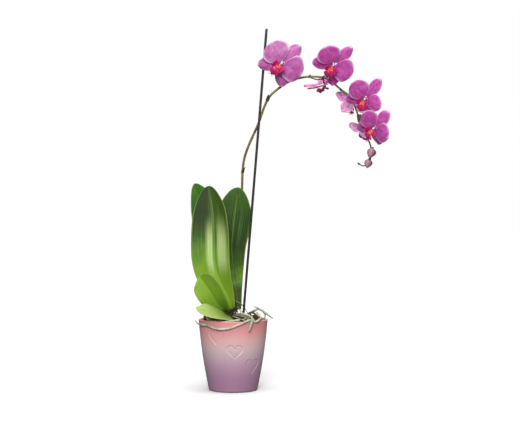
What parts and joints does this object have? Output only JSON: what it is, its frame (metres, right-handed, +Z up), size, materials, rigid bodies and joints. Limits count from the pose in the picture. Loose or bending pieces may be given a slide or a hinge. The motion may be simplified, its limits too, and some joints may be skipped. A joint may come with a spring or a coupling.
{
  "type": "potted moth orchid",
  "caption": "Potted moth orchid: broad upright leaves, an arching spike of magenta flowers beside a dark support stake, and aerial roots over a tapered ceramic pot with sunken hearts.",
  "frame": {"origin": "centre of the cover pot's flat underside, on the surface it stands on", "axes": "+Z up; +X towards the side the flower spike arches over; -Y the side the open flowers and the hearts face"},
  "size_m": [0.3666, 0.16, 0.6789],
  "materials": {
    "pot_glaze": "satin glaze shading from rosy pink at the rim to mauve at the foot",
    "grow_pot_plastic": "thin clear plastic",
    "bark": "rough dark reddish-brown bark chips",
    "crown": "dull green-brown plant tissue",
    "stake": "smooth dark purple-black rod",
    "leaf": "smooth waxy green leaf with a channelled midrib",
    "root": "matt silvery grey-green root",
    "stem": "satin olive-brown stem",
    "tepal": "soft velvety magenta-purple petal with paler edges and veins",
    "lip": "crimson-magenta lip with an orange centre",
    "bud": "dusky pink bud"
  },
  "bodies": {
    "root": {"pot": "pot_glaze", "grow_pot": "grow_pot_plastic", "bark": "bark", "crown": "crown", "stake": "stake", "leaf_back_left": "leaf", "leaf_centre": "leaf", "leaf_right": "leaf", "leaf_front_left": "leaf", "leaf_lowest": "leaf", "root_front": "root", "root_rim": "root", "root_silver": "root", "root_arch": "root", "root_hanging": "root", "flower_spike": "stem", "bud_1": "bud", "bud_2": "bud", "flower_1_top_sepal": "tepal", "flower_1_left_sepal": "tepal", "flower_1_right_sepal": "tepal", "flower_1_left_petal": "tepal", "flower_1_right_petal": "tepal", "flower_1_lip": "lip", "flower_2_top_sepal": "tepal", "flower_2_left_sepal": "tepal", "flower_2_right_sepal": "tepal", "flower_2_left_petal": "tepal", "flower_2_right_petal": "tepal", "flower_2_lip": "lip", "flower_3_top_sepal": "tepal", "flower_3_left_sepal": "tepal", "flower_3_right_sepal": "tepal", "flower_3_left_petal": "tepal", "flower_3_right_petal": "tepal", "flower_3_lip": "lip", "flower_4_top_sepal": "tepal", "flower_4_left_sepal": "tepal", "flower_4_right_sepal": "tepal", "flower_4_left_petal": "tepal", "flower_4_right_petal": "tepal", "flower_4_lip": "lip", "flower_5_top_sepal": "tepal", "flower_5_left_sepal": "tepal", "flower_5_right_sepal": "tepal", "flower_5_left_petal": "tepal", "flower_5_right_petal": "tepal", "flower_5_lip": "lip", "flower_6_top_sepal": "tepal", "flower_6_left_sepal": "tepal", "flower_6_right_sepal": "tepal", "flower_6_left_petal": "tepal", "flower_6_right_petal": "tepal", "flower_6_lip": "lip", "flower_7_top_sepal": "tepal", "flower_7_left_sepal": "tepal", "flower_7_right_sepal": "tepal", "flower_7_left_petal": "tepal", "flower_7_right_petal": "tepal", "flower_7_lip": "lip"}
  },
  "joints": []
}
